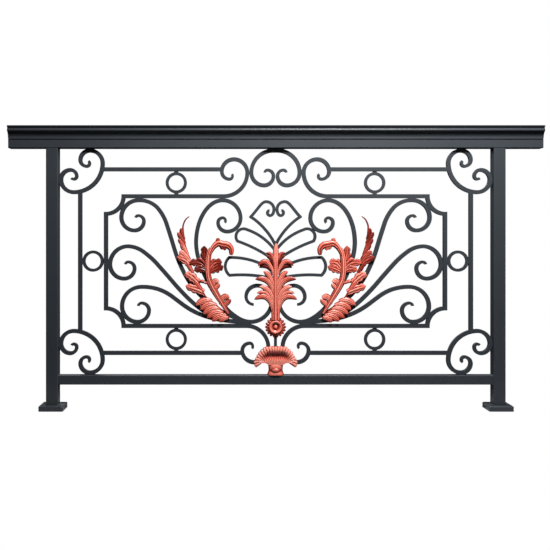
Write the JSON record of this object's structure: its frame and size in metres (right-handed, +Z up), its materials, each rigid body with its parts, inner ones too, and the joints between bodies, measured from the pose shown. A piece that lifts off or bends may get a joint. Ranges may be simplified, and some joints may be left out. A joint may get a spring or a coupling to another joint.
{
  "type": "steel balcony railing",
  "caption": "Wrought steel balcony railing panel with a moulded handrail on square posts, scrollwork infill and painted leaf castings.",
  "frame": {"origin": "centre of the left base plate's underside, on the floor", "axes": "+X along the railing to the right post, +Z up, the front with the castings faces -Y"},
  "size_m": [1.876, 0.086, 1],
  "materials": {
    "black_steel": "satin charcoal paint on steel",
    "red_casting": "orange-red paint on castings, darker in the recesses"
  },
  "bodies": {
    "root": {"left_post": "black_steel", "right_post": "black_steel", "left_base_plate": "black_steel", "right_base_plate": "black_steel", "bottom_rail": "black_steel", "top_rail": "black_steel", "handrail": "black_steel", "rail_end_plates": "black_steel", "top_left_corner_scroll": "black_steel", "top_right_corner_scroll": "black_steel", "bottom_left_corner_scroll": "black_steel", "bottom_right_corner_scroll": "black_steel", "crown_scroll": "black_steel", "left_frame_top_bar": "black_steel", "right_frame_top_bar": "black_steel", "left_frame_bottom_bar": "black_steel", "right_frame_bottom_bar": "black_steel", "left_frame_side_bar": "black_steel", "right_frame_side_bar": "black_steel", "outer_side_bars": "black_steel", "outer_top_bars": "black_steel", "outer_bottom_bars": "black_steel", "top_rings": "black_steel", "bottom_rings": "black_steel", "side_rings": "black_steel", "stem": "black_steel", "left_c_scroll": "black_steel", "right_c_scroll": "black_steel", "left_lower_scroll": "black_steel", "right_lower_scroll": "black_steel", "left_middle_scroll": "black_steel", "right_middle_scroll": "black_steel", "left_upper_scroll": "black_steel", "right_upper_scroll": "black_steel", "crest_loops": "black_steel", "upper_petals": "black_steel", "lower_petals": "black_steel", "palmette": "red_casting", "rosette": "red_casting", "shell": "red_casting", "left_feather_leaf": "red_casting", "right_feather_leaf": "red_casting", "left_leaf_spray": "red_casting", "right_leaf_spray": "red_casting"}
  },
  "joints": []
}
